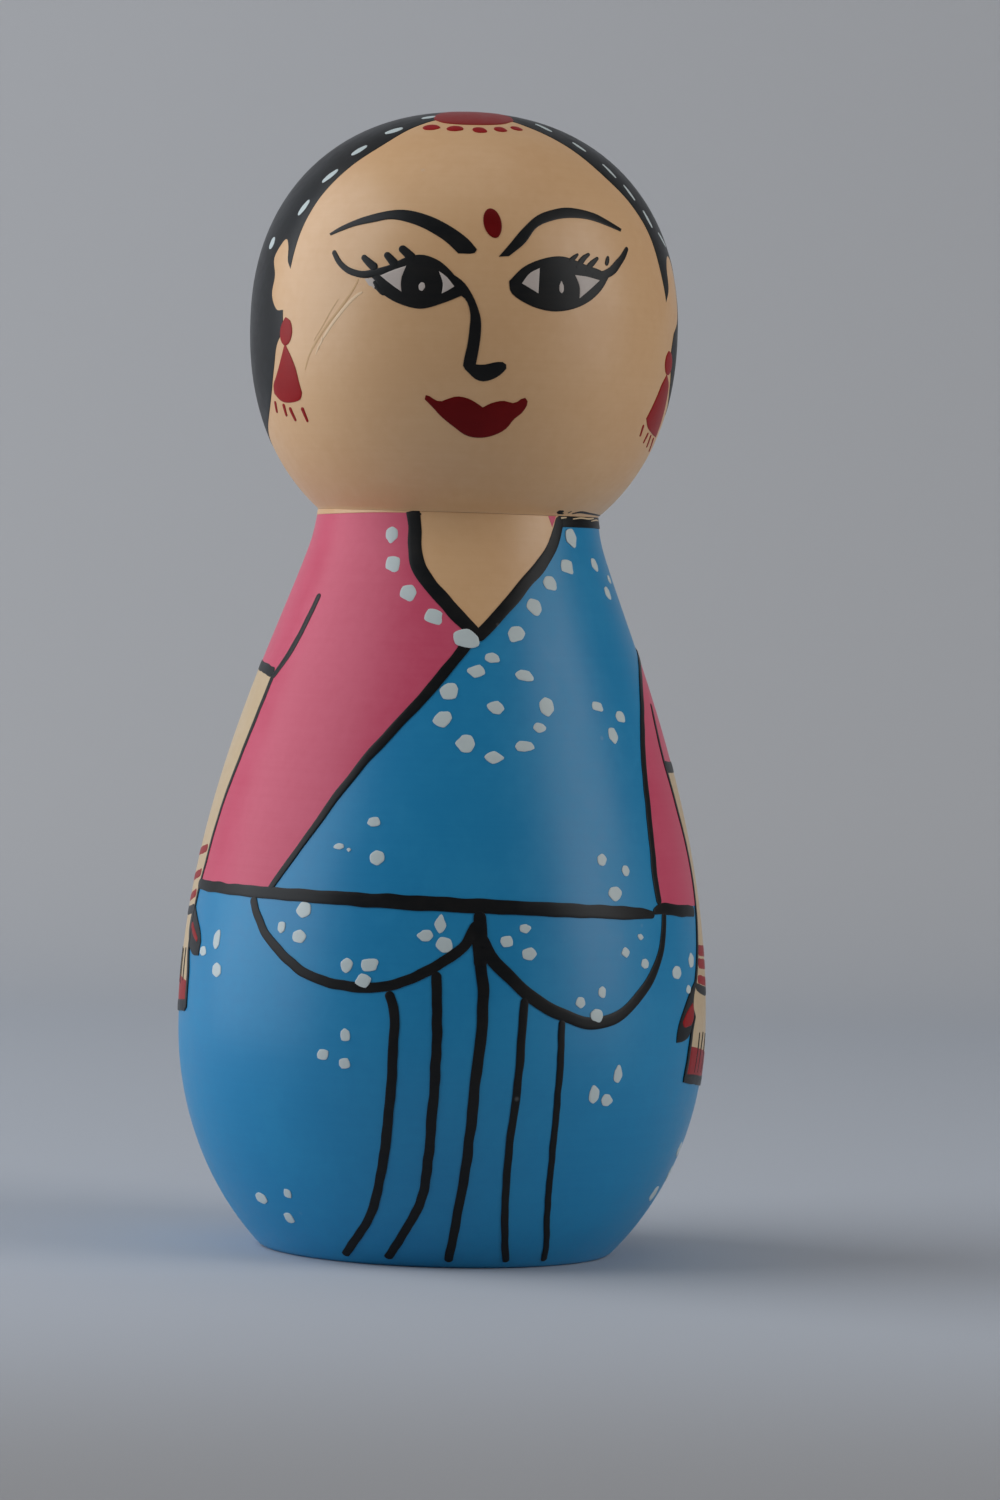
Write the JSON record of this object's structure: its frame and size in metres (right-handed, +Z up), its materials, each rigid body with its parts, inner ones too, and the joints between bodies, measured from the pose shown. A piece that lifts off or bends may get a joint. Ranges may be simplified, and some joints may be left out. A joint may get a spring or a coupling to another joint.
{
  "type": "turned wooden doll",
  "caption": "Free-standing lathe-turned wooden doll with a pear-shaped body and a round head that turns on a dowel, painted as a woman in a sari.",
  "frame": {"origin": "centre of the flat underside that the doll stands on", "axes": "+Z up along the turning axis; the painted face looks along -Y; +X is the doll's own left, the viewer's right"},
  "size_m": [0.059, 0.059, 0.127],
  "materials": {
    "blue_paint": "satin lacquered paint over turned wood",
    "skin_paint": "satin lacquered paint over turned wood",
    "bare_wood": "bare hardwood",
    "pink_paint": "satin lacquered paint film",
    "black_paint": "satin lacquered paint film",
    "red_paint": "satin lacquered paint film",
    "white_paint": "satin lacquered paint film"
  },
  "bodies": {
    "body": {"body": "blue_paint", "neck_dowel": "bare_wood"},
    "head": {"head": "skin_paint"}
  },
  "joints": [
    {"name": "head_turn", "type": "hinge", "parent": "body", "child": "head", "pos_m": [0, 0, 0.0824], "axis": [0, 0, 1], "continuous": true}
  ]
}
